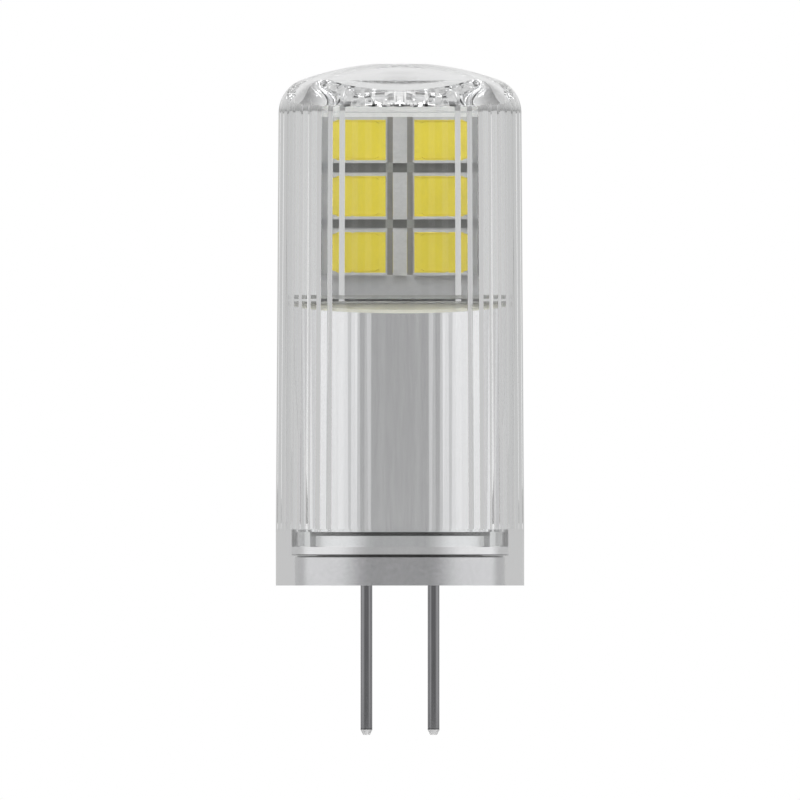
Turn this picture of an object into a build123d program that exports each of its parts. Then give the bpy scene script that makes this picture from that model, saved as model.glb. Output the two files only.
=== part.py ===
from build123d import *
import os
from math import cos, pi, radians, sin, sqrt, tan

os.makedirs("parts", exist_ok=True)

# A clear LED capsule bulb, in millimetres.
# Z is its axis: the flat base face is z = 0, the dome points up and the two pins point down.
# The pins stand apart along X. The light board lies in the XZ plane and its front faces -Y.

# Overall sizes
body_height = 31.1  # base face to the top of the dome
pin_length = 8.9  # pins below the base face

# Clear cover, outside
skirt_diameter = 14.8
skirt_height = 3.4
shoulder_diameter = 14.46  # where the drafted wall would meet the dome
shoulder_radius = 2.1
dome_radius = 17.5
gate_diameter = 3.0  # moulding flat on top of the dome

# Clear cover, inside
cover_wall = 1.75
crown_thickness = 1.75
flute_count = 44
flute_depth = 0.08

# Mouth of the cover: a ledge that the sleeve's flange snaps behind, and a relief groove above it
mouth_wall = 1.1
ledge_height = 1.8
snap_undercut = 0.23
groove_width = 0.27
groove_height = 1.57
lip_gap = 0.55
lip_edge = 0.26
counterbore_height = 0.85  # from the lip's edge up to the flutes

# Light packages, two columns on each face of the board
led_rows = 3
led_width = 3.6
led_height = 2.75
led_thickness = 0.65
led_column_gap = 0.8
led_row_gap = 0.6
window_width = 2.8
window_height = 2.25
window_corner = 0.2  # cut off each corner of the window
window_depth = 0.35
window_taper = 12.0
phosphor_recess = 0.03
phosphor_clearance = 0.01

# Light board
board_thickness = 0.8
board_headroom = 1.2  # under the inside of the crown
board_side_margin = 0.1  # beside the packages
board_top_margin = 0.22  # above the top row
bare_strip = 1.17  # between the bottom row and the collar
board_corner_radius = 0.4
slot_clearance = 0.06  # round the board where it passes through another piece

# Collar, pitched cap and metal sleeve below the lights
collar_thickness = 0.24
collar_gap = 0.12
bar_height = 0.15
bar_depth = 2.2
roof_slope = 5.0
cap_thickness = 0.2
cap_rib_depth = 0.9
cap_rib_thickness = 0.5
cap_rib_spacing = 7.0
sleeve_clearance = 0.1  # inside the flute ridges
sleeve_wall = 0.4
flange_thickness = 0.5
flange_clearance = 0.06
ear_width = 2.4  # of the two spring ears that stand on the flange
ear_clearance = 0.03  # in the cover's relief groove
spigot_clearance = 0.05  # of the cap's ribs and the plug's spigot in the sleeve's bore

# Base plug and contact pins
plug_clearance = 0.02
plug_gap = 0.02  # below the sleeve's flange
rim_groove_depth = 0.13  # of the shadow line round the plug's top
rim_groove_height = 0.08
plug_spigot_height = 1.1
board_seat = 0.6  # depth of the board's seat in the plug's spigot
pin_pitch = 4.0
pin_diameter = 0.7
pin_tip_diameter = 0.4
pin_tip_length = 0.3
pin_head_diameter = 1.0
pin_tail_diameter = 0.6
pin_tail_length = 2.0
pin_fit = 0.01  # radial gap round the pin's head and tail
notch_clearance = 0.05  # beside the pin's head in the board's notch
solder_fit = 0.02
solder_overlap = 0.15  # solder proud of each face of the board

# Driver parts on the lower half of the board: width, height and thickness off the board
bridge_size = (4.0, 3.6, 1.7)
chip_size = (2.9, 1.6, 1.1)
resistor_size = (2.0, 1.25, 0.5)
inductor_size = (3.0, 3.0, 1.5)
diode_size = (2.7, 1.6, 1.1)
capacitor_size = (3.2, 1.6, 1.6)
pair_gap = 0.5  # between two like parts side by side
lead_width = 0.4
lead_thickness = 0.15
lead_reach = 0.3
bridge_lead_pitch = 2.5
chip_lead_pitch = 0.95
end_cap_length = 0.4
end_cap_step = 0.04
package_draft = 6.0
inductor_corner = 0.5
inductor_edge = 0.25

# Sizes that follow from the ones above
skirt_r = skirt_diameter / 2
shoulder_r = shoulder_diameter / 2
gate_r = gate_diameter / 2
dome_center_z = body_height - sqrt(dome_radius**2 - gate_r**2)
corner_z = dome_center_z + sqrt(dome_radius**2 - shoulder_r**2)

mouth_r = skirt_r - mouth_wall
groove_r = mouth_r + snap_undercut
groove_top = ledge_height + groove_height
lip_r = groove_r - groove_width
lip_z = ledge_height + lip_gap
flute_foot_z = lip_z + counterbore_height

led_column_pitch = led_width + led_column_gap
led_row_pitch = led_height + led_row_gap
board_width = led_column_pitch + led_width + 2 * board_side_margin
board_top = body_height - crown_thickness - board_headroom
led_top = board_top - board_top_margin
led_bottom = led_top - led_height - (led_rows - 1) * led_row_pitch
collar_bottom = led_bottom - bare_strip - collar_thickness
ridge_z = collar_bottom - collar_gap - bar_height
slot_width = board_width + 2 * slot_clearance
slot_depth = board_thickness + 2 * slot_clearance


def wall_radius(z):
    """Outside radius of the cover's drafted wall at a height."""
    return skirt_r + (shoulder_r - skirt_r) * (z - skirt_height) / (corner_z - skirt_height)


def valley_radius(z):
    """Inside radius of the cover between two flute ridges at a height."""
    return wall_radius(z) - cover_wall


def flute_outline(z):
    """Corners of the zigzag section inside the cover, with a valley facing the front."""
    half_pitch = pi / flute_count
    radii = (valley_radius(z), valley_radius(z) - flute_depth)
    return [
        (radii[i % 2] * sin(i * half_pitch), -radii[i % 2] * cos(i * half_pitch))
        for i in range(2 * flute_count)
    ]


narrowest_r = min(valley_radius(ledge_height), valley_radius(ridge_z)) - flute_depth
sleeve_r = narrowest_r - sleeve_clearance
sleeve_bore_r = sleeve_r - sleeve_wall
spigot_r = sleeve_bore_r - spigot_clearance
flange_r = groove_r - flange_clearance
eaves_z = ridge_z - (sleeve_r - bar_depth / 2) * tan(radians(roof_slope))
cap_rib_z = eaves_z - cap_thickness - cap_rib_depth

plug_r = mouth_r - plug_clearance
plug_top = ledge_height - plug_gap
spigot_top = plug_top + plug_spigot_height
board_bottom = spigot_top - board_seat
tail_top = spigot_top + pin_tail_length
notch_width = pin_head_diameter + 2 * notch_clearance
notch_top = tail_top + notch_clearance


def keep(name, piece):
    """Label a finished piece and write it as its own file."""
    piece.part.label = name
    export_step(piece.part, f"parts/{name}.step")


def roof_line(drop):
    """Corners of the pitched top, from the front eave to the back one, lowered by drop."""
    half_bar = bar_depth / 2
    return [
        (-sleeve_r, eaves_z - drop),
        (-half_bar, ridge_z - drop),
        (half_bar, ridge_z - drop),
        (sleeve_r, eaves_z - drop),
    ]


def board_seat_plane(side, x, z):
    """A plane on the front (side -1) or back (side 1) of the board, facing away from it."""
    return Plane(origin=(x, side * board_thickness / 2, z), x_dir=(1, 0, 0), z_dir=(0, side, 0))


# Clear cover: the fluted cavity first, then the moulded body round it
with BuildPart() as cover_cavity:
    for level in (ledge_height, body_height):
        with BuildSketch(Plane.XY.offset(level)):
            with BuildLine():
                Polyline(*flute_outline(level), close=True)
            make_face()
    loft(ruled=True)
    with Locations((0, 0, dome_center_z)):
        Sphere(dome_radius - crown_thickness, mode=Mode.INTERSECT)

with BuildPart() as clear_cover:
    with BuildSketch(Plane.XZ) as cover_section:
        with BuildLine():
            Polyline(
                (gate_r, body_height),
                (0, body_height),
                (0, 0),
                (skirt_r, 0),
                (skirt_r, skirt_height),
                (shoulder_r, corner_z),
            )
            RadiusArc((shoulder_r, corner_z), (gate_r, body_height), -dome_radius)
        make_face()
        fillet(cover_section.vertices().sort_by_distance((shoulder_r, corner_z))[0], shoulder_radius)
    revolve(axis=Axis.Z)
    add(cover_cavity.part, mode=Mode.SUBTRACT)
    with BuildSketch(Plane.XZ):
        with BuildLine():
            Polyline(
                (0, 0),
                (mouth_r, 0),
                (mouth_r, ledge_height),
                (groove_r, ledge_height),
                (groove_r, groove_top),
                (lip_r, groove_top),
                (lip_r, lip_z),
                (lip_r - lip_edge, lip_z),
                (lip_r - lip_edge, flute_foot_z),
                (0, flute_foot_z),
                close=True,
            )
        make_face()
    revolve(axis=Axis.Z, mode=Mode.SUBTRACT)
keep("clear_cover", clear_cover)

# Light board: a plate with two notches at its foot for the pins
with BuildPart() as led_board:
    with BuildSketch(Plane.XZ) as board_face:
        with Locations((0, board_bottom)):
            Rectangle(board_width, board_top - board_bottom, align=(Align.CENTER, Align.MIN))
        fillet(board_face.vertices().group_by(Axis.Y)[-1], board_corner_radius)
        with Locations((-pin_pitch / 2, board_bottom), (pin_pitch / 2, board_bottom)):
            Rectangle(
                notch_width,
                notch_top - board_bottom,
                align=(Align.CENTER, Align.MIN),
                mode=Mode.SUBTRACT,
            )
    extrude(amount=board_thickness / 2, both=True)
keep("led_board", led_board)

# Light packages: a pale body with a tapered window, and the phosphor that fills it
phosphor_inset = 2 * (phosphor_clearance + phosphor_recess * tan(radians(window_taper)))
for face_name, side in (("front", -1), ("back", 1)):
    for place in range(2 * led_rows):
        row, column = divmod(place, 2)
        seat = board_seat_plane(
            side,
            (column - 0.5) * led_column_pitch,
            led_top - led_height / 2 - row * led_row_pitch,
        )
        with BuildPart() as led_body:
            with BuildSketch(seat):
                Rectangle(led_width, led_height)
            extrude(amount=led_thickness)
            with BuildSketch(seat.offset(led_thickness)):
                window = Rectangle(window_width, window_height)
                chamfer(window.vertices(), window_corner)
            extrude(amount=-window_depth, taper=window_taper, mode=Mode.SUBTRACT)
        keep(f"led_{face_name}_{place + 1}", led_body)

        with BuildPart() as phosphor:
            with BuildSketch(seat.offset(led_thickness - phosphor_recess)):
                fill = Rectangle(window_width - phosphor_inset, window_height - phosphor_inset)
                chamfer(fill.vertices(), window_corner)
            extrude(amount=phosphor_recess - window_depth, taper=window_taper)
        keep(f"phosphor_{face_name}_{place + 1}", phosphor)

# Collar: a narrow strip that grips the board above the cap
with BuildPart() as board_collar:
    with BuildSketch(Plane.XY.offset(collar_bottom)):
        Circle(sleeve_r)
        Rectangle(2 * sleeve_r, bar_depth, mode=Mode.INTERSECT)
        Rectangle(slot_width, slot_depth, mode=Mode.SUBTRACT)
    extrude(amount=collar_thickness)
keep("board_collar", board_collar)

# The space under the pitched cap, which the sleeve fills and the cap's ribs reach into
with BuildPart() as under_roof:
    with BuildSketch(Plane.YZ):
        with BuildLine():
            Polyline(
                *roof_line(cap_thickness),
                (flange_r, ledge_height + flange_thickness),
                (flange_r, ledge_height),
                (-flange_r, ledge_height),
                (-flange_r, ledge_height + flange_thickness),
                close=True,
            )
        make_face()
    extrude(amount=flange_r, both=True)

with BuildPart() as cap_hollow:
    add(under_roof.part)
    with BuildSketch(Plane.XY.offset(cap_rib_z)):
        with GridLocations(0, cap_rib_spacing, 1, 2):
            Rectangle(2 * spigot_r, cap_rib_thickness)
        Circle(spigot_r, mode=Mode.INTERSECT)
    extrude(amount=ridge_z - cap_rib_z, mode=Mode.SUBTRACT)

# Pitched cap: two gentle slopes, a bar under the collar and two ribs in the sleeve's bore
with BuildPart() as reflector_cap:
    with BuildSketch(Plane.YZ):
        with BuildLine():
            Polyline(*roof_line(0), (sleeve_r, cap_rib_z), (-sleeve_r, cap_rib_z), close=True)
        make_face()
        with Locations((0, ridge_z)):
            Rectangle(bar_depth, bar_height, align=(Align.CENTER, Align.MIN))
    extrude(amount=sleeve_r, both=True)
    with BuildSketch(Plane.XY.offset(cap_rib_z)):
        Circle(sleeve_r)
    extrude(amount=collar_bottom - cap_rib_z, mode=Mode.INTERSECT)
    add(cap_hollow.part, mode=Mode.SUBTRACT)
    with BuildSketch(Plane.XY.offset(cap_rib_z)):
        Rectangle(slot_width, slot_depth)
    extrude(amount=collar_bottom - cap_rib_z, mode=Mode.SUBTRACT)
keep("reflector_cap", reflector_cap)

# Metal sleeve: a tube cut to the pitch of the cap, on a flange that snaps over the cover's ledge,
# with an ear on each side that stands in the relief groove
with BuildPart() as metal_sleeve:
    with BuildSketch(Plane.XZ):
        with BuildLine():
            Polyline(
                (sleeve_bore_r, ledge_height),
                (flange_r, ledge_height),
                (flange_r, ledge_height + flange_thickness),
                (sleeve_r, ledge_height + flange_thickness),
                (sleeve_r, ridge_z),
                (sleeve_bore_r, ridge_z),
                close=True,
            )
        make_face()
    revolve(axis=Axis.Z)
    with BuildSketch(Plane.XY.offset(ledge_height)):
        Circle(flange_r)
        Circle(lip_r + ear_clearance, mode=Mode.SUBTRACT)
        Rectangle(2 * flange_r, ear_width, mode=Mode.INTERSECT)
    extrude(amount=groove_height - ear_clearance)
    add(under_roof.part, mode=Mode.INTERSECT)
keep("metal_sleeve", metal_sleeve)

# Base plug: a disc in the cover's mouth, with a spigot that seats the board and two pin holes
with BuildPart() as base_plug:
    for radius, height in (
        (plug_r, plug_top - rim_groove_height),
        (plug_r - rim_groove_depth, plug_top),
        (spigot_r, spigot_top),
    ):
        Cylinder(radius, height, align=(Align.CENTER, Align.CENTER, Align.MIN))
    with BuildSketch(Plane.XY.offset(board_bottom)):
        Rectangle(slot_width, slot_depth)
    extrude(amount=board_seat, mode=Mode.SUBTRACT)
    with Locations((-pin_pitch / 2, 0, spigot_top), (pin_pitch / 2, 0, spigot_top)):
        Hole(pin_head_diameter / 2 + pin_fit, depth=spigot_top)
keep("base_plug", base_plug)

# Contact pins, each with a moulded-in head and a tail soldered in the board's notch
for side_name, side in (("left", -1), ("right", 1)):
    pin_x = side * pin_pitch / 2
    with BuildPart() as contact_pin:
        with BuildSketch(Plane(origin=(pin_x, 0, 0), x_dir=(1, 0, 0), z_dir=(0, -1, 0))):
            with BuildLine():
                Polyline(
                    (0, -pin_length),
                    (pin_tip_diameter / 2, -pin_length),
                    (pin_diameter / 2, pin_tip_length - pin_length),
                    (pin_diameter / 2, 0),
                    (pin_head_diameter / 2, 0),
                    (pin_head_diameter / 2, spigot_top),
                    (pin_tail_diameter / 2, spigot_top),
                    (pin_tail_diameter / 2, tail_top),
                    (0, tail_top),
                    close=True,
                )
            make_face()
        revolve(axis=Axis((pin_x, 0, 0), (0, 0, 1)))
    keep(f"pin_{side_name}", contact_pin)

    with BuildPart() as solder_joint:
        with BuildSketch(Plane.XY.offset(spigot_top)):
            with Locations((pin_x, 0)):
                Rectangle(notch_width - 2 * solder_fit, board_thickness + 2 * solder_overlap)
                Circle(pin_tail_diameter / 2 + pin_fit, mode=Mode.SUBTRACT)
        extrude(amount=pin_tail_length)
    keep(f"solder_{side_name}", solder_joint)


def stacked(heights):
    """Centre heights of parts spread evenly up the hidden half of the board."""
    gap = (cap_rib_z - notch_top - sum(heights)) / (len(heights) + 1)
    centres = []
    level = notch_top
    for height in heights:
        centres.append(level + gap + height / 2)
        level += gap + height
    return centres


def moulded_package(seat, size, lead_sites, lead_length):
    """A drafted plastic package on flat leads, at the given places along its edges."""
    width, height, thickness = size
    with BuildPart() as package:
        with BuildSketch(seat.offset(lead_thickness)):
            Rectangle(width, height)
        extrude(amount=thickness - lead_thickness, taper=package_draft)
        with BuildSketch(seat):
            with lead_sites:
                Rectangle(*lead_length)
        extrude(amount=lead_thickness)
    return package


def end_capped_part(seat, size):
    """A small block with a raised metal cap at each end."""
    width, height, thickness = size
    with BuildPart() as block:
        with BuildSketch(seat):
            Rectangle(width, height - 2 * end_cap_step)
        extrude(amount=thickness - end_cap_step)
        with BuildSketch(seat):
            with GridLocations(width - end_cap_length, 0, 2, 1):
                Rectangle(end_cap_length, height)
        extrude(amount=thickness)
    return block


# Driver parts on the front of the board, inside the sleeve
front_levels = stacked([bridge_size[1], chip_size[1], resistor_size[1]])
bridge_rectifier = moulded_package(
    board_seat_plane(-1, 0, front_levels[0]),
    bridge_size,
    GridLocations(bridge_lead_pitch, bridge_size[1], 2, 2),
    (2 * lead_width, 2 * lead_reach),
)
keep("bridge_rectifier", bridge_rectifier)

driver_chip = moulded_package(
    board_seat_plane(-1, 0, front_levels[1]),
    chip_size,
    GridLocations(chip_lead_pitch, chip_size[1], 3, 2),
    (lead_width, 2 * lead_reach),
)
keep("driver_chip", driver_chip)

resistor_pitch = resistor_size[0] + pair_gap
for place in (0, 1):
    resistor = end_capped_part(
        board_seat_plane(-1, (place - 0.5) * resistor_pitch, front_levels[2]), resistor_size
    )
    keep(f"sense_resistor_{place + 1}", resistor)

# Driver parts on the back of the board, inside the sleeve
back_levels = stacked([inductor_size[1], diode_size[1], capacitor_size[1]])
with BuildPart() as power_inductor:
    with BuildSketch(board_seat_plane(1, 0, back_levels[0])):
        core = Rectangle(inductor_size[0], inductor_size[1])
        chamfer(core.vertices(), inductor_corner)
    extrude(amount=inductor_size[2])
    chamfer(power_inductor.faces().sort_by(Axis.Y)[-1].edges(), inductor_edge)
keep("power_inductor", power_inductor)

output_diode = moulded_package(
    board_seat_plane(1, 0, back_levels[1]),
    diode_size,
    GridLocations(diode_size[0], 0, 2, 1),
    (2 * lead_reach, 2 * lead_width),
)
keep("output_diode", output_diode)

capacitor_pitch = capacitor_size[0] + pair_gap
for place, name in enumerate(("input_capacitor", "output_capacitor")):
    capacitor = end_capped_part(
        board_seat_plane(1, (place - 0.5) * capacitor_pitch, back_levels[2]), capacitor_size
    )
    keep(name, capacitor)
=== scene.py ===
"""Looks of a clear LED capsule bulb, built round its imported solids."""

from math import acos, asin, cos, hypot, pi, radians, sin, sqrt

import bpy
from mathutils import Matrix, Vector


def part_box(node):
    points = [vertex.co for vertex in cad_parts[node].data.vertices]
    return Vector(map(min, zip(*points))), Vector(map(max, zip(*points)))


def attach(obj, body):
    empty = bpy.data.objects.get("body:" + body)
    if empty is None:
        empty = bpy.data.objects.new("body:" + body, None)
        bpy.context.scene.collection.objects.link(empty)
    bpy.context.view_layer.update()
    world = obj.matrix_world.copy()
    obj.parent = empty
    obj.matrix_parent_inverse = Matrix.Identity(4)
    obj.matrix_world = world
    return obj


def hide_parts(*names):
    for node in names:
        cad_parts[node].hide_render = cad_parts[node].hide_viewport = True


bl_info = {
    "name": "LED capsule bulb",
    "version": (1, 0, 0),
    "blender": (4, 5, 0),
    "location": "View3D > Sidebar > Bulb",
    "description": "Models the fluted clear cover of a capsule bulb and finishes its other pieces",
    "category": "Object",
}

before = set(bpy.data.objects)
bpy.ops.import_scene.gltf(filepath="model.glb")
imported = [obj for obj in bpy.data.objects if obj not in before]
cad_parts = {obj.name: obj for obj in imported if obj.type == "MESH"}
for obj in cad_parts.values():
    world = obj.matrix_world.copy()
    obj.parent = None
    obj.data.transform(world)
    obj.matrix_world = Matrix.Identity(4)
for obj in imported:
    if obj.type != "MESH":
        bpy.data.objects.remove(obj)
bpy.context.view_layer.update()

MM = 0.001
BODY = "root"

cover_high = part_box("clear_cover")[1]
pin_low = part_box("pin_left")[0]

# How the cover is meshed. Distances are in metres.
WELD_DISTANCE = 1e-7
CUT_TOLERANCE = 1e-9
EDGE_SUPPORT = 0.3 * MM
GATE_SUPPORT = 0.9
DOME_STEPS = 24
SHOULDER_STEPS = 36
ROUND_HALVINGS = 60
SMOOTH_ANGLE = radians(3.5)

# How a grain varies a finish, as shares of the noise's range and of the roughness.
NOISE_DETAIL = 4.0
GRAIN_RANGE = (0.3, 0.7)
GLOSS_SPREAD = 0.2

# Directions in the room, in degrees round from the camera's side.
WALL_FRONT_END = 28
WALL_SIDE_START = 68
WALL_SIDE_END = 105
WALL_BACK_START = 120
CEILING_FRONT_END = 30
CEILING_SIDE_START = 60
CEILING_SIDE_END = 120
CEILING_BACK_START = 150

# Where one level of the room blends into the next, as the upward part of a direction.
HORIZON_BLEND = (0.02, 0.08)
CEILING_BLEND = (0.35, 0.65)
ZENITH_BLEND = (0.70, 0.80)


def length(name, description, default):
    """A size in metres that shows in the scene's units."""
    return bpy.props.FloatProperty(
        name=name, description=description, default=default, subtype="DISTANCE", unit="LENGTH"
    )


def colour(name, description, default):
    """A linear colour that shows as a swatch."""
    return bpy.props.FloatVectorProperty(
        name=name, description=description, default=default, size=3, min=0, max=1, subtype="COLOR"
    )


def share(name, description, default):
    """A number from 0 to 1."""
    return bpy.props.FloatProperty(
        name=name, description=description, default=default, min=0, max=1, subtype="FACTOR"
    )


class BulbCoverSettings(bpy.types.PropertyGroup):
    """Sizes and finish of the clear cover."""

    skirt_radius: length("Skirt radius", "Outside radius at the mouth", cover_high.x)
    skirt_height: length("Skirt height", "Height of the straight skirt", 3.4 * MM)
    body_height: length("Height", "From the mouth to the top of the dome", cover_high.z)
    shoulder_width: length("Shoulder radius", "Where the drafted wall would meet the dome", 7.23 * MM)
    shoulder_round: length("Shoulder round", "Radius that rounds wall into dome", 2.1 * MM)
    dome_radius: length("Dome radius", "Radius of the domed top", 17.5 * MM)
    gate_radius: length("Gate radius", "Moulding flat on top of the dome", 1.5 * MM)
    wall: length("Wall", "Thickness of the wall between flute ridges", 1.75 * MM)
    crown: length("Crown", "Thickness of the domed top", 1.75 * MM)
    flute_depth: length("Flute depth", "Height of a ridge inside the wall", 0.08 * MM)
    flute_count: bpy.props.IntProperty(
        name="Flutes", description="Ridges round the inside", default=44, min=3
    )
    mouth_wall: length("Mouth wall", "Wall thickness below the ledge", 1.1 * MM)
    ledge_height: length("Ledge height", "Height of the ledge in the mouth", 1.8 * MM)
    snap_undercut: length("Snap undercut", "Depth of the groove behind the mouth", 0.23 * MM)
    groove_width: length("Groove width", "Width of the relief groove", 0.27 * MM)
    groove_height: length("Groove height", "Height of the relief groove", 1.57 * MM)
    lip_gap: length("Lip gap", "From the ledge up to the lip", 0.55 * MM)
    lip_edge: length("Lip edge", "Width of the lip's flat", 0.26 * MM)
    counterbore: length("Counterbore", "Height of the plain bore from the lip to the flutes", 0.85 * MM)
    steps: bpy.props.IntProperty(
        name="Steps", description="Steps of the turned surfaces", default=352, min=32
    )
    tint: colour("Tint", "Colour of the clear plastic", (0.985, 0.99, 0.99))
    haze: share("Haze", "Roughness where the clear plastic is least polished", 0.012)
    ior: bpy.props.FloatProperty(
        name="Refraction", description="Index of refraction", default=1.5, min=1.0, max=2.5
    )


class BulbFinishSettings(bpy.types.PropertyGroup):
    """Colours and finishes of the pieces inside the cover and below it."""

    board: colour("Board", "Bare strip of the light board", (0.60, 0.60, 0.61))
    # Painted shade: the board is darkened in the narrow gaps between rows of packages, short of a margin
    # beside each package and out to a reach from the axis.
    row_gap_shade: colour("Board tracks", "Light board between two rows", (0.22, 0.22, 0.205))
    gap_shade_margin: length("Track rim", "Pale edge beside each package", 0.035 * MM)
    gap_shade_reach: length("Track reach", "From the axis to the ends of the tracks", 3.64 * MM)
    # Painted shade: board and package ends beyond the reach of the gap shade are darkened.
    side_shade: colour("Board sides", "Board and packages beyond the tracks", (0.38, 0.385, 0.385))
    # Painted shade: the slot between the columns is darkened, and the crossings of slot and row gaps less
    # so.
    slot_shade: colour("Board slot", "Light board between the two columns", (0.30, 0.29, 0.26))
    cross_shade: colour("Board cross", "Where a track crosses the slot", (0.36, 0.36, 0.33))
    slot_width: length("Slot width", "Width of the strip between the columns", 0.40 * MM)
    cross_width: length("Cross width", "Width of the pale crossing of slot and track", 0.58 * MM)
    # Painted light: a pale strip along the top of the light board, where light through the dome falls.
    board_edge_light: colour("Board edge", "Pale strip along the top of the light board", (0.90, 0.90, 0.88))
    package: colour("Package", "Moulded light package", (0.58, 0.58, 0.57))
    phosphor: colour("Phosphor", "Phosphor in the window and round its rim", (0.90, 0.735, 0.03))
    glow_width: length("Phosphor width", "Width of the yellow area of a package", 2.84 * MM)
    glow_height: length("Phosphor height", "Height of the yellow area of a package", 2.42 * MM)
    glow_corner: length("Phosphor corner", "Cut off the outer corners of the yellow area", 0.38 * MM)
    collar: colour("Collar", "Strip that grips the board", (0.44, 0.44, 0.43))
    # Painted shade: the cap is brightest at its eaves and darkens up its slopes towards the ridge.
    cap: colour("Cap", "Eaves of the pitched cap", (0.99, 0.98, 0.84))
    cap_shade: share("Cap shade", "Brightness of the cap's slopes where they meet the line", 0.45)
    cap_bar_tone: colour("Cap bar", "Bar along the top of the cap", (0.46, 0.46, 0.44))
    cap_bar: length("Cap bar height", "Height of the bar above the cap's slopes", 0.15 * MM)
    cap_drop: length("Cap drop", "From the top of the sleeve down to the cap's eaves", 0.17 * MM)
    # Painted shadow: a dark line under the bar, where the cap meets it.
    cap_shadow_line: length("Cap line", "Half the height of the dark line under the bar", 0.02 * MM)
    cap_shadow_foot: length("Cap line foot", "From the line's middle down to the slopes", 0.04 * MM)
    cap_shadow_head: length("Cap line head", "From the line's middle up to the bar", 0.03 * MM)
    cap_shadow_tone: share("Cap line shade", "Brightness of the dark line under the bar", 0.25)
    sleeve: colour("Sleeve", "Drawn metal sleeve", (0.92, 0.915, 0.925))
    sleeve_roughness: share("Sleeve roughness", "How far the sleeve blurs what it mirrors", 0.10)
    # Painted shade: this dark colour makes the band round the sleeve below the flutes, and the shadows in
    # the gaps under the sleeve and the plug's rim.
    shadow: colour("Shadow", "Dark seal, and dark gaps under sleeve and plug rim", (0.02, 0.02, 0.02))
    # Painted shadow: the lowest strip of the sleeve and the plug's top above its rim groove are darkened
    # where they meet.
    foot_shadow: length("Foot gap", "Height of the dark gap at the foot of the sleeve", 0.03 * MM)
    shade_band_height: length("Seal height", "Middle of the dark seal round the sleeve", 3.05 * MM)
    shade_band_width: length("Seal width", "Width of the dark seal", 0.24 * MM)
    flange: length("Flange", "Thickness of the sleeve's flange", 0.51 * MM)
    ear_radius: length("Ear radius", "Beyond this distance from the axis the ears begin", 6.2 * MM)
    ear: colour("Ear", "Spring ears on the flange", (0.25, 0.25, 0.25))
    plug: colour("Plug", "Base plug", (0.72, 0.715, 0.73))
    plug_groove: length("Plug groove", "From the flange down to the floor of the rim groove", 0.1 * MM)
    rim_shadow: length("Rim gap", "Height of the dark gap below the rim groove", 0.025 * MM)
    pin: colour("Pin", "Contact pins", (0.29, 0.29, 0.30))
    pin_tip: colour("Pin tip", "Bare tapered ends of the pins", (0.95, 0.95, 0.95))
    pin_taper: length("Pin taper", "Length of a pin's tapered end", 0.29 * MM)
    # Painted shade: a darker ring on each pin just above its taper.
    pin_shade_ring: length("Pin ring", "Height of the dark ring above the taper", 0.07 * MM)
    pin_ring_shade: share("Pin ring shade", "Brightness of the dark ring above the taper", 0.5)
    pin_roughness: share("Pin roughness", "How far the pins blur what they mirror", 0.03)
    solder: colour("Solder", "Solder joints", (0.72, 0.72, 0.72))
    mould_black: colour("Moulded black", "Driver packages", (0.022, 0.022, 0.024))
    ceramic: colour("Ceramic", "Body of the capacitors", (0.42, 0.28, 0.16))
    tinned: colour("Tinned ends", "Leads and end caps", (0.70, 0.70, 0.70))
    lead: length("Lead", "Thickness of a flat lead", 0.15 * MM)
    end_cap: length("End cap", "Length of a metal end", 0.4 * MM)


class BulbStageSettings(bpy.types.PropertyGroup):
    """Camera, lamp, room and floor."""

    frame_width: length("Frame width", "Width of the picture at the object", 47.69 * MM)
    frame_centre: length("Frame centre", "Height of the picture's middle", 11.06 * MM)
    camera_distance: length("Camera distance", "From the axis to the camera", 0.25)
    camera_clip: length("Camera clip", "Nearest distance that the camera sees", 1 * MM)
    floor_size: length("Floor size", "Side of the square floor", 2.0)
    floor_colour: colour("Floor colour", "Pale floor", (0.6, 0.6, 0.6))
    floor_roughness: share("Floor roughness", "How far the floor blurs what it mirrors", 0.9)
    floor_white: share("Floor white", "How far the camera sees the floor as white", 0.75)
    front_light: share("Front light", "Brightness of the room behind the camera", 0.40)
    side_light: share("Side light", "Brightness of the room at both sides", 0.95)
    back_light: share("Back light", "Brightness of the backdrop behind the bulb", 0.82)
    horizon_light: share("Horizon light", "Brightness low down behind the bulb", 0.55)
    ceiling_front: share("Ceiling in front", "Brightness of the ceiling on the camera's side", 0.90)
    ceiling_side: share("Ceiling at the sides", "Brightness of the ceiling at both sides", 0.20)
    ceiling_back: share("Ceiling behind", "Brightness of the ceiling behind the bulb", 0.60)
    zenith_light: share("Zenith light", "Brightness straight above", 0.03)
    lamp_power: bpy.props.FloatProperty(
        name="Lamp power", description="Power of the soft lamp", default=2.8, min=0, unit="POWER"
    )
    lamp_size: length("Lamp size", "Side of the square lamp", 0.4)
    lamp_forward: length("Lamp forward", "From the axis towards the camera", 0.3)
    lamp_height: length("Lamp height", "Height of the lamp", 0.4)
    bounces: bpy.props.IntProperty(
        name="Bounces", description="How often light is followed in the clear plastic", default=40, min=4
    )


def clear_selection():
    """Leave edit mode with nothing selected."""
    if bpy.context.object and bpy.context.object.mode != "OBJECT":
        bpy.ops.object.mode_set(mode="OBJECT")
    bpy.ops.object.select_all(action="DESELECT")


def pick(solid):
    """Make a solid the one that is selected and active."""
    clear_selection()
    bpy.context.view_layer.objects.active = solid
    solid.select_set(True)


def edit_all():
    """Go into edit mode with the whole active solid selected."""
    bpy.ops.object.mode_set(mode="EDIT")
    bpy.ops.mesh.select_all(action="SELECT")


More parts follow.
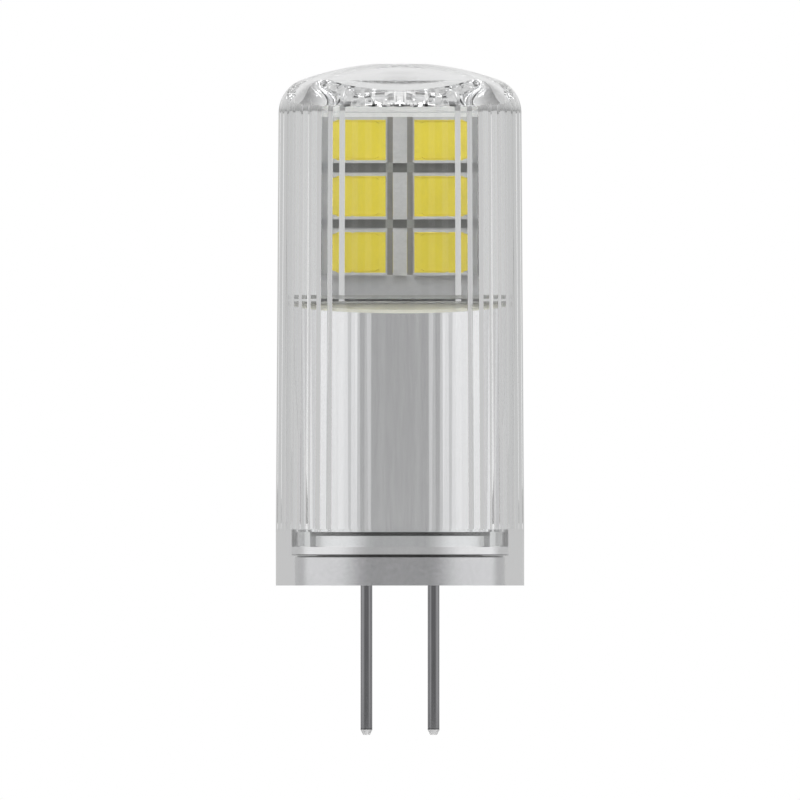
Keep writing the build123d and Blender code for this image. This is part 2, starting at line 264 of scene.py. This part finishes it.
def drawn_profile(name, points):
    """A line of edges in the XZ plane, drawn one extrusion at a time through (radius, height) points."""
    clear_selection()
    bpy.ops.mesh.primitive_plane_add(size=MM)
    drawn = bpy.context.object
    drawn.name = name
    edit_all()
    bpy.ops.mesh.merge(type="CENTER")
    bpy.ops.transform.translate(value=(points[0][0], 0, points[0][1]))
    for (r0, z0), (r1, z1) in zip(points, points[1:]):
        bpy.ops.mesh.extrude_region_move(TRANSFORM_OT_translate={"value": (r1 - r0, 0, z1 - z0)})
    bpy.ops.object.mode_set(mode="OBJECT")
    return drawn


def turned(name, points, steps):
    """A closed solid of revolution about Z through (radius, height) points."""
    solid = drawn_profile(name, points)
    edit_all()
    bpy.ops.mesh.spin(steps=steps, angle=2 * pi, center=(0, 0, 0), axis=(0, 0, 1))
    bpy.ops.mesh.select_all(action="SELECT")
    bpy.ops.mesh.remove_doubles(threshold=WELD_DISTANCE)
    bpy.ops.mesh.normals_make_consistent(inside=False)
    bpy.ops.object.mode_set(mode="OBJECT")
    return solid


def apply_boolean(solid, tool, operation):
    """Combine two solids, merge the double points of their cut and delete the tool."""
    modifier = solid.modifiers.new(operation.title(), "BOOLEAN")
    modifier.operation = operation
    modifier.object = tool
    modifier.solver = "EXACT"
    modifier.double_threshold = CUT_TOLERANCE
    pick(solid)
    bpy.ops.object.modifier_apply(modifier=modifier.name)
    edit_all()
    bpy.ops.mesh.remove_doubles(threshold=WELD_DISTANCE)
    bpy.ops.object.mode_set(mode="OBJECT")
    bpy.data.objects.remove(tool)


def arc_points(centre, radius, start, end, count):
    """Points on an arc from start to end, in radians from the +r axis, both ends included."""
    angles = [start + (end - start) * i / count for i in range(count + 1)]
    return [(centre[0] + radius * cos(angle), centre[1] + radius * sin(angle)) for angle in angles]


def feed(tree, socket, value):
    """Link an output to a socket, or set the socket to a number or a colour."""
    if isinstance(value, bpy.types.NodeSocket):
        tree.links.new(value, socket)
    elif isinstance(value, float):
        socket.default_value = value
    else:
        socket.default_value = (*value, 1)


def calculated(tree, operation, first, second=0.0):
    """A number worked out from outputs or numbers."""
    node = tree.nodes.new("ShaderNodeMath")
    node.operation = operation
    feed(tree, node.inputs[0], first)
    feed(tree, node.inputs[1], second)
    return node.outputs[0]


def set_stops(ramp, stops):
    """Give a colour ramp its (position, colour) stops, from the lowest up."""
    marks = ramp.color_ramp.elements
    while len(marks) < len(stops):
        marks.new(1.0)
    for mark, (position, tone) in zip(marks, stops):
        mark.position = position
        mark.color = (*tone, 1)


class Finish:
    """A Principled material with its node tree at hand."""

    def __init__(self, name):
        self.made = bpy.data.materials.new(name)
        self.made.use_nodes = True
        self.tree = self.made.node_tree
        self.shader = self.tree.nodes["Principled BSDF"]
        self.place = self.add("ShaderNodeTexCoord").outputs["Object"]

    def add(self, kind, **properties):
        """A new node with some of its properties set."""
        node = self.tree.nodes.new(kind)
        for name, value in properties.items():
            setattr(node, name, value)
        return node

    def set(self, socket, value):
        """Give one of the shader's sockets an output, a number or a colour."""
        feed(self.tree, self.shader.inputs[socket], value)

    def noise(self, scale, stretch=(1, 1, 1)):
        """Noise of a scale in cells for each metre, stretched along the axes."""
        mapping = self.add("ShaderNodeMapping")
        mapping.inputs["Scale"].default_value = [scale * s for s in stretch]
        texture = self.add("ShaderNodeTexNoise")
        texture.inputs["Scale"].default_value = 1.0
        texture.inputs["Detail"].default_value = NOISE_DETAIL
        feed(self.tree, mapping.inputs["Vector"], self.place)
        feed(self.tree, texture.inputs["Vector"], mapping.outputs["Vector"])
        return texture.outputs["Fac"]

    def shades(self, factor, dark, light):
        """Blend from dark to light over the middle of a 0 to 1 factor."""
        ramp = self.add("ShaderNodeValToRGB")
        set_stops(ramp, list(zip(GRAIN_RANGE, (dark, light))))
        feed(self.tree, ramp.inputs["Fac"], factor)
        return ramp.outputs["Color"]

    def between(self, factor, low, high):
        """A number from low to high that follows a 0 to 1 factor."""
        node = self.add("ShaderNodeMapRange")
        node.inputs["To Min"].default_value = low
        node.inputs["To Max"].default_value = high
        feed(self.tree, node.inputs["Value"], factor)
        return node.outputs["Result"]

    def bump(self, height, distance):
        """Relief from a 0 to 1 height, with its depth in metres."""
        node = self.add("ShaderNodeBump")
        node.inputs["Distance"].default_value = distance
        node.inputs["Strength"].default_value = 1.0
        feed(self.tree, node.inputs["Height"], height)
        self.set("Normal", node.outputs["Normal"])

    def along(self, axis):
        """Place along X, Y or Z in metres."""
        split = self.add("ShaderNodeSeparateXYZ")
        feed(self.tree, split.inputs[0], self.place)
        return split.outputs[axis]

    def math(self, operation, first, second=0.0):
        """A number worked out from outputs or numbers."""
        return calculated(self.tree, operation, first, second)

    def from_axis(self):
        """Distance from the bulb's axis in metres."""
        squares = [self.math("POWER", self.along(axis), 2.0) for axis in ("X", "Y")]
        return self.math("SQRT", self.math("ADD", *squares))

    def mix(self, blend, factor, first, second):
        """Blend two colours, each an output or a fixed colour."""
        node = self.add("ShaderNodeMix", data_type="RGBA", blend_type=blend)
        feed(self.tree, node.inputs[0], factor)
        feed(self.tree, node.inputs["A"], first)
        feed(self.tree, node.inputs["B"], second)
        return node.outputs["Result"]

    def bands(self, stops, smooth):
        """Colour by height through (height, colour) stops, from the lowest up."""
        low, high = stops[0][0], stops[-1][0]
        height = self.add("ShaderNodeMapRange")
        height.inputs["From Min"].default_value = low
        height.inputs["From Max"].default_value = high
        feed(self.tree, height.inputs["Value"], self.along("Z"))
        ramp = self.add("ShaderNodeValToRGB")
        ramp.color_ramp.interpolation = "LINEAR" if smooth else "CONSTANT"
        set_stops(ramp, [((level - low) / (high - low), tone) for level, tone in stops])
        feed(self.tree, ramp.inputs["Fac"], height.outputs["Result"])
        return ramp.outputs["Color"]

    def grained(self, stops, smooth):
        """Colour by height, with the grain of the finish in it."""
        return self.mix("MULTIPLY", 1.0, self.bands(stops, smooth), self.grain)

    def paint(self, where, tone):
        """Lay a colour over the surface where a 0 or 1 mask says."""
        under = self.shader.inputs["Base Color"].links[0].from_socket
        self.set("Base Color", self.mix("MIX", where, under, tone))


def shaded(base, factor):
    """A colour made lighter or darker."""
    return [min(1.0, c * factor) for c in base]


def speckled(name, base, scale, contrast, roughness, relief, metallic=0.0, stretch=(1, 1, 1)):
    """A finish whose colour, gloss and relief vary with fine grain."""
    finish = Finish(name)
    noise = finish.noise(scale, stretch)
    finish.grain = finish.shades(noise, shaded(base, 1 - contrast), shaded(base, 1 + contrast))
    finish.set("Base Color", finish.grain)
    gloss = finish.between(noise, roughness * (1 - GLOSS_SPREAD), roughness * (1 + GLOSS_SPREAD))
    finish.set("Roughness", gloss)
    finish.set("Metallic", metallic)
    finish.bump(noise, relief)
    return finish


def banded(name, stops, smooth, contrast, **grain):
    """A speckled finish whose colour also changes with height."""
    pale = (1 / (1 + contrast),) * 3
    finish = speckled(name, pale, contrast=contrast, **grain)
    finish.set("Base Color", finish.grained(stops, smooth))
    return finish


def light_boxes(face):
    """Boxes of the light packages on one face of the board."""
    return [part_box(node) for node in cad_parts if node.startswith(face)]


def dress(node, finish):
    """Give a solid of the frame its finish."""
    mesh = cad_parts[node].data
    mesh.materials.clear()
    mesh.materials.append(finish.made)


class BULB_OT_cover(bpy.types.Operator):
    """Model the clear cover with its fluted inside."""

    bl_idname = "bulb.cover"
    bl_label = "Clear cover"

    def dome_z(self, s):
        """Height of the dome's centre."""
        return s.body_height - sqrt(s.dome_radius**2 - s.gate_radius**2)

    def corner_z(self, s):
        """Height where the drafted wall would meet the dome."""
        return self.dome_z(s) + sqrt(s.dome_radius**2 - s.shoulder_width**2)

    def slope(self, s):
        """Change of the drafted wall's radius for each metre of height."""
        return (s.shoulder_width - s.skirt_radius) / (self.corner_z(s) - s.skirt_height)

    def wall_at(self, s, z):
        """Outside radius of the drafted wall at a height."""
        return s.skirt_radius + self.slope(s) * (z - s.skirt_height)

    def flute_foot(self, s):
        """Height where the flutes end above the mouth."""
        return s.ledge_height + s.lip_gap + s.counterbore

    def round_centre(self, s):
        """Centre of the round from wall to dome, found by halving the range of its height."""
        inset = s.shoulder_round * hypot(1, self.slope(s))
        low, high = self.dome_z(s), self.corner_z(s)
        for _ in range(ROUND_HALVINGS):
            middle = (low + high) / 2
            reach = hypot(self.wall_at(s, middle) - inset, middle - self.dome_z(s))
            low, high = (middle, high) if reach < s.dome_radius - s.shoulder_round else (low, middle)
        return self.wall_at(s, low) - inset, low

    def outside(self, s):
        """Outline from the top centre, down the outside and up the mouth to the flutes' foot."""
        round_centre = self.round_centre(s)
        gate_angle = acos(s.gate_radius / s.dome_radius)
        dome_angle = acos(round_centre[0] / (s.dome_radius - s.shoulder_round))
        wall_angle = -self.slope(s)
        dome = arc_points((0, self.dome_z(s)), s.dome_radius, gate_angle, dome_angle, DOME_STEPS)
        shoulder = arc_points(round_centre, s.shoulder_round, dome_angle, wall_angle, SHOULDER_STEPS)
        wall_top = shoulder[-1][1] - EDGE_SUPPORT
        wall_foot = s.skirt_height + EDGE_SUPPORT
        mouth = s.skirt_radius - s.mouth_wall
        groove = mouth + s.snap_undercut
        groove_top = s.ledge_height + s.groove_height
        lip = groove - s.groove_width
        lip_z = s.ledge_height + s.lip_gap
        return [
            (0, s.body_height),
            (s.gate_radius * GATE_SUPPORT, s.body_height),
            *dome,
            *shoulder[1:],
            (self.wall_at(s, wall_top), wall_top),
            (self.wall_at(s, wall_foot), wall_foot),
            (s.skirt_radius, s.skirt_height),
            (s.skirt_radius, s.skirt_height - EDGE_SUPPORT),
            (s.skirt_radius, 0),
            (mouth, 0),
            (mouth, s.ledge_height),
            (groove, s.ledge_height),
            (groove, groove_top),
            (lip, groove_top),
            (lip, lip_z),
            (lip - s.lip_edge, lip_z),
            (lip - s.lip_edge, self.flute_foot(s)),
            (0, self.flute_foot(s)),
        ]

    def flutes(self, s):
        """The fluted space inside the cover, closed by its domed ceiling."""
        foot = s.ledge_height
        top = s.body_height
        foot_r = self.wall_at(s, foot) - s.wall
        top_r = self.wall_at(s, top) - s.wall
        clear_selection()
        bpy.ops.mesh.primitive_circle_add(
            vertices=2 * s.flute_count, radius=foot_r, fill_type="NGON", location=(0, 0, 0)
        )
        space = bpy.context.object
        space.name = "flute_space"
        for index, vertex in enumerate(space.data.vertices):
            vertex.select = index % 2 == 1
        for edge in space.data.edges:
            edge.select = False
        for face in space.data.polygons:
            face.select = False
        bpy.ops.object.mode_set(mode="EDIT")
        bpy.ops.mesh.select_mode(type="VERT")
        ridge = 1 - s.flute_depth / foot_r
        bpy.ops.transform.resize(value=(ridge, ridge, 1), center_override=(0, 0, 0))
        bpy.ops.mesh.select_all(action="SELECT")
        bpy.ops.transform.translate(value=(0, 0, foot))
        bpy.ops.mesh.extrude_region_move(TRANSFORM_OT_translate={"value": (0, 0, top - foot)})
        draft = top_r / foot_r
        bpy.ops.transform.resize(value=(draft, draft, 1), center_override=(0, 0, top))
        bpy.ops.mesh.select_all(action="SELECT")
        bpy.ops.mesh.normals_make_consistent(inside=False)
        bpy.ops.object.mode_set(mode="OBJECT")

        ceiling_radius = s.dome_radius - s.crown
        reach = asin(s.skirt_radius / ceiling_radius)
        ceiling = arc_points((0, self.dome_z(s)), ceiling_radius, pi / 2, pi / 2 - reach, DOME_STEPS)
        former = turned("ceiling_former", [*ceiling, (ceiling[-1][0], 0), (0, 0)], s.steps)
        apply_boolean(space, former, "INTERSECT")
        return space

    def execute(self, context):
        s = context.scene.bulb_cover
        cover = turned("cover", self.outside(s), s.steps)
        apply_boolean(cover, self.flutes(s), "DIFFERENCE")
        pick(cover)
        bpy.ops.object.shade_smooth_by_angle(angle=SMOOTH_ANGLE)

        plastic = Finish("clear_plastic")
        polish = plastic.noise(900.0, stretch=(1, 1, 0.3))
        plastic.set("Base Color", s.tint)
        plastic.set("Transmission Weight", 1.0)
        plastic.set("IOR", s.ior)
        plastic.set("Roughness", plastic.between(polish, 0.0, s.haze))
        cover.data.materials.clear()
        cover.data.materials.append(plastic.made)
        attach(cover, BODY)
        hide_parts("clear_cover")
        return {"FINISHED"}


class BULB_OT_board(bpy.types.Operator):
    """Finish the light board."""

    bl_idname = "bulb.board"
    bl_label = "Light board"

    def stripes(self, s, on_row, between_rows):
        """Colours of one upright strip of the board, from its foot up."""
        rows = sorted((low.z, high.z) for low, high in light_boxes("led_front") if low.x < 0)
        stops = [(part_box("led_board")[0].z, s.board), (rows[0][0], on_row)]
        for (_, gap_low), (gap_high, _) in zip(rows, rows[1:]):
            # Painted shade in each gap between two rows, short of a margin beside the packages.
            stops += [(gap_low + s.gap_shade_margin, between_rows), (gap_high - s.gap_shade_margin, on_row)]
        # Painted light along the top of the board.
        return [*stops, (rows[-1][1], s.board_edge_light)]

    def execute(self, context):
        s = context.scene.bulb_finish
        board = banded(
            "solder_mask", self.stripes(s, s.package, s.row_gap_shade), smooth=False,
            scale=4000.0, contrast=0.04, roughness=0.45, relief=0.004 * MM,
        )
        off_middle = board.math("ABSOLUTE", board.along("X"))
        # Painted shade in the slot between the columns, at its crossings with the row gaps, and beyond
        # the gap shade's reach.
        for where, limit, on_row, between_rows in (
            ("LESS_THAN", s.cross_width / 2, s.package, s.cross_shade),
            ("LESS_THAN", s.slot_width / 2, s.slot_shade, s.cross_shade),
            ("GREATER_THAN", s.gap_shade_reach, s.side_shade, s.side_shade),
        ):
            strip = board.grained(self.stripes(s, on_row, between_rows), smooth=False)
            board.paint(board.math(where, off_middle, limit), strip)
        dress("led_board", board)
        return {"FINISHED"}


class BULB_OT_lights(bpy.types.Operator):
    """Finish the light packages and their phosphor."""

    bl_idname = "bulb.lights"
    bl_label = "Light packages"

    def fill(self, package, s):
        """Paint shade on the packages' outer ends, and spread the phosphor's colour over each window's
        rim.
        """
        column = [(low + high) / 2 for low, high in light_boxes("led_front") if low.x > 0]
        pitch = abs(column[0].z - column[1].z)
        off_middle = package.math("ABSOLUTE", package.along("X"))
        outwards = package.math("SUBTRACT", off_middle, column[0].x)
        upwards = package.math(
            "PINGPONG", package.math("SUBTRACT", package.along("Z"), column[0].z), pitch / 2
        )
        corner = (s.glow_width + s.glow_height) / 2 - s.glow_corner
        inside = package.math("LESS_THAN", package.math("ABSOLUTE", outwards), s.glow_width / 2)
        for distance, limit in (
            (upwards, s.glow_height / 2),
            (package.math("ADD", outwards, upwards), corner),
        ):
            inside = package.math("MULTIPLY", inside, package.math("LESS_THAN", distance, limit))
        # Painted shade on the packages' outer ends.
        package.paint(package.math("GREATER_THAN", off_middle, s.gap_shade_reach), s.side_shade)
        package.paint(inside, s.phosphor)

    def execute(self, context):
        s = context.scene.bulb_finish
        package = speckled(
            "package_white", s.package, scale=6000.0, contrast=0.05, roughness=0.40, relief=0.003 * MM
        )
        self.fill(package, s)
        phosphor = speckled(
            "phosphor_yellow", s.phosphor, scale=9000.0, contrast=0.04, roughness=0.50, relief=0.002 * MM
        )
        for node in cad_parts:
            if node.startswith(("led_front", "led_back")):
                dress(node, package)
            elif node.startswith("phosphor"):
                dress(node, phosphor)
        return {"FINISHED"}


class BULB_OT_cap(bpy.types.Operator):
    """Finish the collar and the pitched cap below the lights."""

    bl_idname = "bulb.cap"
    bl_label = "Collar and cap"

    def execute(self, context):
        s = context.scene.bulb_finish
        collar = speckled(
            "collar_white", s.collar, scale=5000.0, contrast=0.06, roughness=0.40, relief=0.003 * MM
        )
        dress("board_collar", collar)
        bar_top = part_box("reflector_cap")[1].z
        ridge = bar_top - s.cap_bar
        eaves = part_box("metal_sleeve")[1].z - s.cap_drop
        # Painted shade: the slopes darken from the eaves up to a painted shadow line under the bar.
        line = shaded(s.cap, s.cap_shadow_tone)
        stops = [
            (eaves, s.cap),
            (ridge - s.cap_shadow_foot, shaded(s.cap, s.cap_shade)),
            (ridge - s.cap_shadow_line, line),
            (ridge + s.cap_shadow_line, line),
            (ridge + s.cap_shadow_head, s.cap_bar_tone),
            (bar_top, s.cap_bar_tone),
        ]
        cap = banded(
            "cap_white", stops, smooth=True,
            scale=5000.0, contrast=0.02, roughness=0.35, relief=0.003 * MM,
        )
        dress("reflector_cap", cap)
        return {"FINISHED"}


class BULB_OT_sleeve(bpy.types.Operator):
    """Finish the drawn metal sleeve."""

    bl_idname = "bulb.sleeve"
    bl_label = "Metal sleeve"

    def execute(self, context):
        s = context.scene.bulb_finish
        low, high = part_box("metal_sleeve")
        stops = [
            # Painted shadow at the foot of the sleeve.
            (low.z, s.shadow),
            (low.z + s.foot_shadow, s.sleeve),
            # Painted shade band round the sleeve below the flutes.
            (s.shade_band_height - s.shade_band_width / 2, s.shadow),
            (s.shade_band_height + s.shade_band_width / 2, s.sleeve),
            (high.z, s.sleeve),
        ]
        metal = banded(
            "sleeve_metal", stops, smooth=False, scale=9000.0, contrast=0.02,
            roughness=s.sleeve_roughness, relief=0.0003 * MM, metallic=1.0, stretch=(1, 1, 0.05),
        )
        outside_tube = metal.math("GREATER_THAN", metal.from_axis(), s.ear_radius)
        above_flange = metal.math("GREATER_THAN", metal.along("Z"), low.z + s.flange)
        metal.paint(metal.math("MULTIPLY", outside_tube, above_flange), s.ear)
        dress("metal_sleeve", metal)
        return {"FINISHED"}


class BULB_OT_base(bpy.types.Operator):
    """Finish the base plug, the contact pins and their solder."""

    bl_idname = "bulb.base"
    bl_label = "Base and pins"

    def execute(self, context):
        s = context.scene.bulb_finish
        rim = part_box("metal_sleeve")[0].z - s.plug_groove
        plug_stops = [
            (0.0, s.plug),
            # Painted shadow on the plug from just below its rim groove to its top.
            (rim - s.rim_shadow, s.shadow),
            (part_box("base_plug")[1].z, s.shadow),
        ]
        plug = banded(
            "plug_grey", plug_stops, smooth=False,
            scale=5000.0, contrast=0.04, roughness=0.08, relief=0.0003 * MM, metallic=1.0,
        )
        dress("base_plug", plug)
        tip_top = pin_low.z + s.pin_taper
        pin_stops = [
            (pin_low.z, s.pin_tip),
            # Painted shade ring just above the taper.
            (tip_top, shaded(s.pin, s.pin_ring_shade)),
            (tip_top + s.pin_shade_ring, s.pin),
            (0.0, s.pin),
        ]
        pin = banded(
            "pin_metal", pin_stops, smooth=False, scale=8000.0, contrast=0.08,
            roughness=s.pin_roughness, relief=0.0004 * MM, metallic=1.0, stretch=(1, 1, 0.06),
        )
        pin.set("Metallic", pin.math("GREATER_THAN", pin.along("Z"), tip_top))
        solder = speckled(
            "solder_metal", s.solder,
            scale=3000.0, contrast=0.06, roughness=0.25, relief=0.004 * MM, metallic=1.0,
        )
        for side in ("left", "right"):
            dress(f"pin_{side}", pin)
            dress(f"solder_{side}", solder)
        return {"FINISHED"}


class BULB_OT_driver(bpy.types.Operator):
    """Finish the driver parts hidden in the sleeve."""

    bl_idname = "bulb.driver"
    bl_label = "Driver parts"

    def moulded(self, name, s):
        """The matt black of a moulded part."""
        return speckled(
            name, s.mould_black, scale=6000.0, contrast=0.2, roughness=0.55, relief=0.006 * MM
        )

    def tin(self, finish, where, tone):
        """Turn part of a finish into bright metal."""
        finish.paint(where, tone)
        finish.set("Metallic", where)

    def execute(self, context):
        s = context.scene.bulb_finish
        board_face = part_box("led_board")[1].y
        dress("power_inductor", self.moulded("package_black", s))
        leaded = self.moulded("package_leaded", s)
        off_middle = leaded.math("ABSOLUTE", leaded.along("Y"))
        self.tin(leaded, leaded.math("LESS_THAN", off_middle, board_face + s.lead), s.tinned)
        for node in ("bridge_rectifier", "driver_chip", "output_diode"):
            dress(node, leaded)
        for node in ("sense_resistor_1", "sense_resistor_2", "input_capacitor", "output_capacitor"):
            low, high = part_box(node)
            base = s.mould_black if node.startswith("sense") else s.ceramic
            block = speckled(
                f"{node}_body", base, scale=6000.0, contrast=0.08, roughness=0.45, relief=0.004 * MM
            )
            along = block.math("SUBTRACT", block.along("X"), (low.x + high.x) / 2)
            off_centre = block.math("ABSOLUTE", along)
            on_end = block.math("GREATER_THAN", off_centre, (high.x - low.x) / 2 - s.end_cap)
            self.tin(block, on_end, s.tinned)
            dress(node, block)
        return {"FINISHED"}


class BULB_OT_stage(bpy.types.Operator):
    """Set the floor, the light and the camera."""

    bl_idname = "bulb.stage"
    bl_label = "Stage"

    def floor(self, s):
        """A pale floor at the pins' tips, nearly white to the camera."""
        clear_selection()
        bpy.ops.mesh.primitive_plane_add(size=s.floor_size, location=(0, 0, pin_low.z))
        floor = bpy.context.object
        floor.name = "floor"
        pale = Finish("floor")
        pale.set("Base Color", s.floor_colour)
        pale.set("Roughness", s.floor_roughness)
        to_camera = pale.add("ShaderNodeLightPath").outputs["Is Camera Ray"]
        white = pale.add("ShaderNodeEmission")
        white.inputs["Strength"].default_value = 1.0
        blend = pale.add("ShaderNodeMixShader")
        feed(pale.tree, blend.inputs["Fac"], pale.math("MULTIPLY", to_camera, s.floor_white))
        feed(pale.tree, blend.inputs[1], pale.shader.outputs[0])
        feed(pale.tree, blend.inputs[2], white.outputs[0])
        feed(pale.tree, pale.tree.nodes["Material Output"].inputs["Surface"], blend.outputs[0])
        floor.data.materials.append(pale.made)

    def world(self, s):
        """White to the camera; to all else a pale room, dim behind the camera and bright at the sides."""
        world = bpy.data.worlds.new("studio")
        bpy.context.scene.world = world
        world.use_nodes = True
        tree = world.node_tree
        nodes = tree.nodes
        split = nodes.new("ShaderNodeSeparateXYZ")
        feed(tree, split.inputs[0], nodes.new("ShaderNodeTexCoord").outputs["Generated"])
        forwards = calculated(tree, "MULTIPLY", split.outputs["Y"], -1.0)
        round_from_camera = calculated(tree, "ARCTAN2", split.outputs["X"], forwards)
        turn = calculated(tree, "DIVIDE", calculated(tree, "ABSOLUTE", round_from_camera), pi)

        def round_room(*levels):
            """Brightness through (degrees from the camera's side of the room, level) stops."""
            ramp = nodes.new("ShaderNodeValToRGB")
            ramp.color_ramp.interpolation = "EASE"
            set_stops(ramp, [(degrees / 180, (level,) * 3) for degrees, level in levels])
            feed(tree, ramp.inputs["Fac"], turn)
            return ramp.outputs["Color"]

        def rising(heights, below, above):
            """Blend from below to above while a direction climbs through two heights."""
            climb = nodes.new("ShaderNodeMapRange")
            climb.interpolation_type = "SMOOTHSTEP"
            climb.inputs["From Min"].default_value = heights[0]
            climb.inputs["From Max"].default_value = heights[1]
            feed(tree, climb.inputs["Value"], split.outputs["Z"])
            blend = nodes.new("ShaderNodeMix")
            feed(tree, blend.inputs["Factor"], climb.outputs["Result"])
            feed(tree, blend.inputs["A"], below)
            feed(tree, blend.inputs["B"], above)
            return blend.outputs["Result"]

        low_wall, wall = [
            round_room(
                (WALL_FRONT_END, s.front_light),
                (WALL_SIDE_START, s.side_light),
                (WALL_SIDE_END, s.side_light),
                (WALL_BACK_START, back),
            )
            for back in (s.horizon_light, s.back_light)
        ]
        ceiling = round_room(
            (CEILING_FRONT_END, s.ceiling_front),
            (CEILING_SIDE_START, s.ceiling_side),
            (CEILING_SIDE_END, s.ceiling_side),
            (CEILING_BACK_START, s.ceiling_back),
        )
        level = rising(HORIZON_BLEND, low_wall, wall)
        level = rising(CEILING_BLEND, level, ceiling)
        level = rising(ZENITH_BLEND, level, s.zenith_light)
        to_camera = nodes.new("ShaderNodeLightPath").outputs["Is Camera Ray"]
        background = nodes["Background"]
        background.inputs["Color"].default_value = (1, 1, 1, 1)
        feed(tree, background.inputs["Strength"], calculated(tree, "MAXIMUM", level, to_camera))

    def lamp(self, s):
        """One wide soft lamp overhead, a little towards the camera."""
        clear_selection()
        bpy.ops.object.light_add(type="AREA", location=(0, -s.lamp_forward, s.lamp_height))
        lamp = bpy.context.object
        lamp.name = "overhead_lamp"
        lamp.data.energy = s.lamp_power
        lamp.data.size = s.lamp_size
        lamp.visible_camera = False
        away = lamp.location - Vector((0, 0, s.frame_centre))
        lamp.rotation_euler = away.to_track_quat("Z", "Y").to_euler()

    def camera(self, s):
        """A level camera without perspective, in front of the light board."""
        clear_selection()
        bpy.ops.object.camera_add(
            location=(0, -s.camera_distance, s.frame_centre), rotation=(pi / 2, 0, 0)
        )
        camera = bpy.context.object
        camera.name = "camera"
        camera.data.type = "ORTHO"
        camera.data.ortho_scale = s.frame_width
        camera.data.clip_start = s.camera_clip
        bpy.context.scene.camera = camera

    def execute(self, context):
        s = context.scene.bulb_stage
        context.scene.view_settings.view_transform = "Standard"
        context.scene.cycles.max_bounces = s.bounces
        context.scene.cycles.glossy_bounces = s.bounces
        context.scene.cycles.transmission_bounces = s.bounces
        self.floor(s)
        self.world(s)
        self.lamp(s)
        self.camera(s)
        return {"FINISHED"}


OPERATORS = (
    BULB_OT_cover,
    BULB_OT_board,
    BULB_OT_lights,
    BULB_OT_cap,
    BULB_OT_sleeve,
    BULB_OT_base,
    BULB_OT_driver,
    BULB_OT_stage,
)


class BULB_PT_panel(bpy.types.Panel):
    """The bulb's steps, in the sidebar of the 3D view."""

    bl_idname = "BULB_PT_panel"
    bl_label = "LED capsule bulb"
    bl_space_type = "VIEW_3D"
    bl_region_type = "UI"
    bl_category = "Bulb"

    def draw(self, context):
        for operator in OPERATORS:
            self.layout.operator(operator.bl_idname)


SETTINGS = {
    "bulb_cover": BulbCoverSettings,
    "bulb_finish": BulbFinishSettings,
    "bulb_stage": BulbStageSettings,
}


def register():
    """Make the settings, the operators and the panel known to Blender."""
    for made in (*SETTINGS.values(), *OPERATORS, BULB_PT_panel):
        bpy.utils.register_class(made)
    for name, made in SETTINGS.items():
        setattr(bpy.types.Scene, name, bpy.props.PointerProperty(type=made))


def unregister():
    """Take back what register did."""
    for name in SETTINGS:
        delattr(bpy.types.Scene, name)
    for made in (BULB_PT_panel, *reversed(OPERATORS), *SETTINGS.values()):
        bpy.utils.unregister_class(made)


def main():
    """Build the bulb's looks in order."""
    register()
    bpy.ops.bulb.cover()
    bpy.ops.bulb.board()
    bpy.ops.bulb.lights()
    bpy.ops.bulb.cap()
    bpy.ops.bulb.sleeve()
    bpy.ops.bulb.base()
    bpy.ops.bulb.driver()
    bpy.ops.bulb.stage()


if __name__ == "__main__":
    main()
